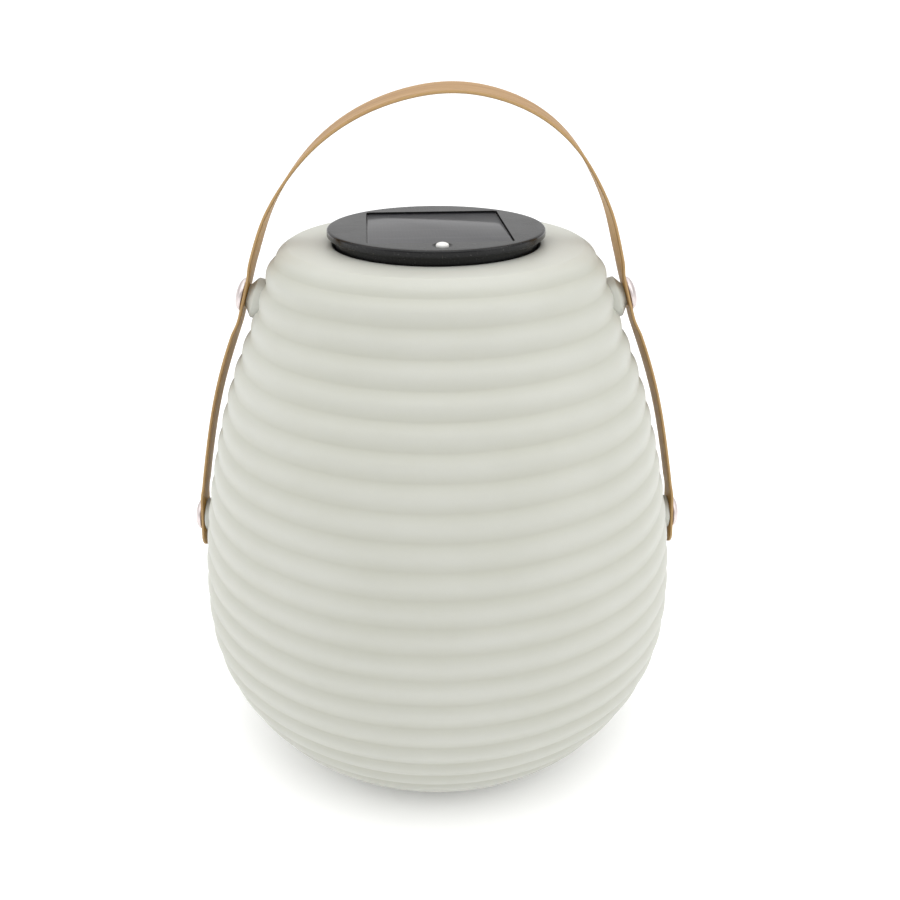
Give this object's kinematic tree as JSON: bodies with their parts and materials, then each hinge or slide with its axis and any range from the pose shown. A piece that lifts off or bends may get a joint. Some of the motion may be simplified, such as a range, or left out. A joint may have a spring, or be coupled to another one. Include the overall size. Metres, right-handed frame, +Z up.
{
  "type": "solar lantern",
  "caption": "Ribbed diffuser lantern with a strap handle; the solar light module in its neck lifts out, and a button on its lid switches the lamp.",
  "frame": {"origin": "centre of the flat base, on the surface that the lantern stands on", "axes": "+Z up through the neck, +X across the handle's rivets, -Y the front, where the mode button is"},
  "size_m": [0.2742, 0.262, 0.3587],
  "materials": {
    "shell": "translucent, fine satin",
    "strap": "satin, printed wood grain",
    "rivet": "polished nickel",
    "lid": "gloss",
    "panel": "clear gloss over dark cells",
    "button": "satin",
    "silicone": "matt",
    "foam": "matt",
    "board": "solder mask",
    "led_board": "white solder mask",
    "chip": "matt",
    "copper": "enamelled wire",
    "lamp": "satin phosphor",
    "cover": "frosted",
    "holder": "satin",
    "cell": "shrink sleeve",
    "steel": "nickel plated",
    "wire_red": "satin",
    "wire_black": "satin"
  },
  "bodies": {
    "lantern": {"diffuser_shell": "shell", "handle_strap": "strap", "rivet_upper_left": "rivet", "rivet_upper_right": "rivet", "rivet_lower_left": "rivet", "rivet_lower_right": "rivet", "rivet_washer_upper_left": "steel", "rivet_washer_upper_right": "steel", "rivet_washer_lower_left": "steel", "rivet_washer_lower_right": "steel", "rivet_cap_upper_left": "rivet", "rivet_cap_upper_right": "rivet", "rivet_cap_lower_left": "rivet", "rivet_cap_lower_right": "rivet"},
    "light_module": {"lid_cover": "lid", "solar_panel": "panel", "panel_pad": "foam", "module_housing": "lid", "seal_ring": "silicone", "tact_switch": "chip", "circuit_board": "board", "controller_chip": "chip", "charge_coil": "copper", "led_board": "led_board", "led_1": "lamp", "led_2": "lamp", "led_3": "lamp", "led_4": "lamp", "led_5": "lamp", "led_6": "lamp", "led_cover": "cover", "battery_holder": "holder", "battery_cell": "cell", "battery_contact_plate": "steel", "battery_contact_spring": "steel", "housing_screw_1": "steel", "housing_screw_2": "steel", "housing_screw_3": "steel", "housing_screw_4": "steel", "board_screw_1": "steel", "board_screw_2": "steel", "panel_wire_positive": "wire_red", "panel_wire_negative": "wire_black", "battery_wire_positive": "wire_red", "battery_wire_negative": "wire_black", "led_wire_positive": "wire_red", "led_wire_negative": "wire_black"},
    "button": {"mode_button": "button", "switch_plunger": "holder"}
  },
  "joints": [
    {"name": "module_lift", "type": "slide", "parent": "lantern", "child": "light_module", "axis": [0, 0, 1], "range_m": [0, 0.036]},
    {"name": "button_press", "type": "slide", "parent": "light_module", "child": "button", "axis": [0, 0, -1], "range_m": [0, 0.0008], "stiffness_N_per_m": 400, "springref_m": -0.002}
  ]
}
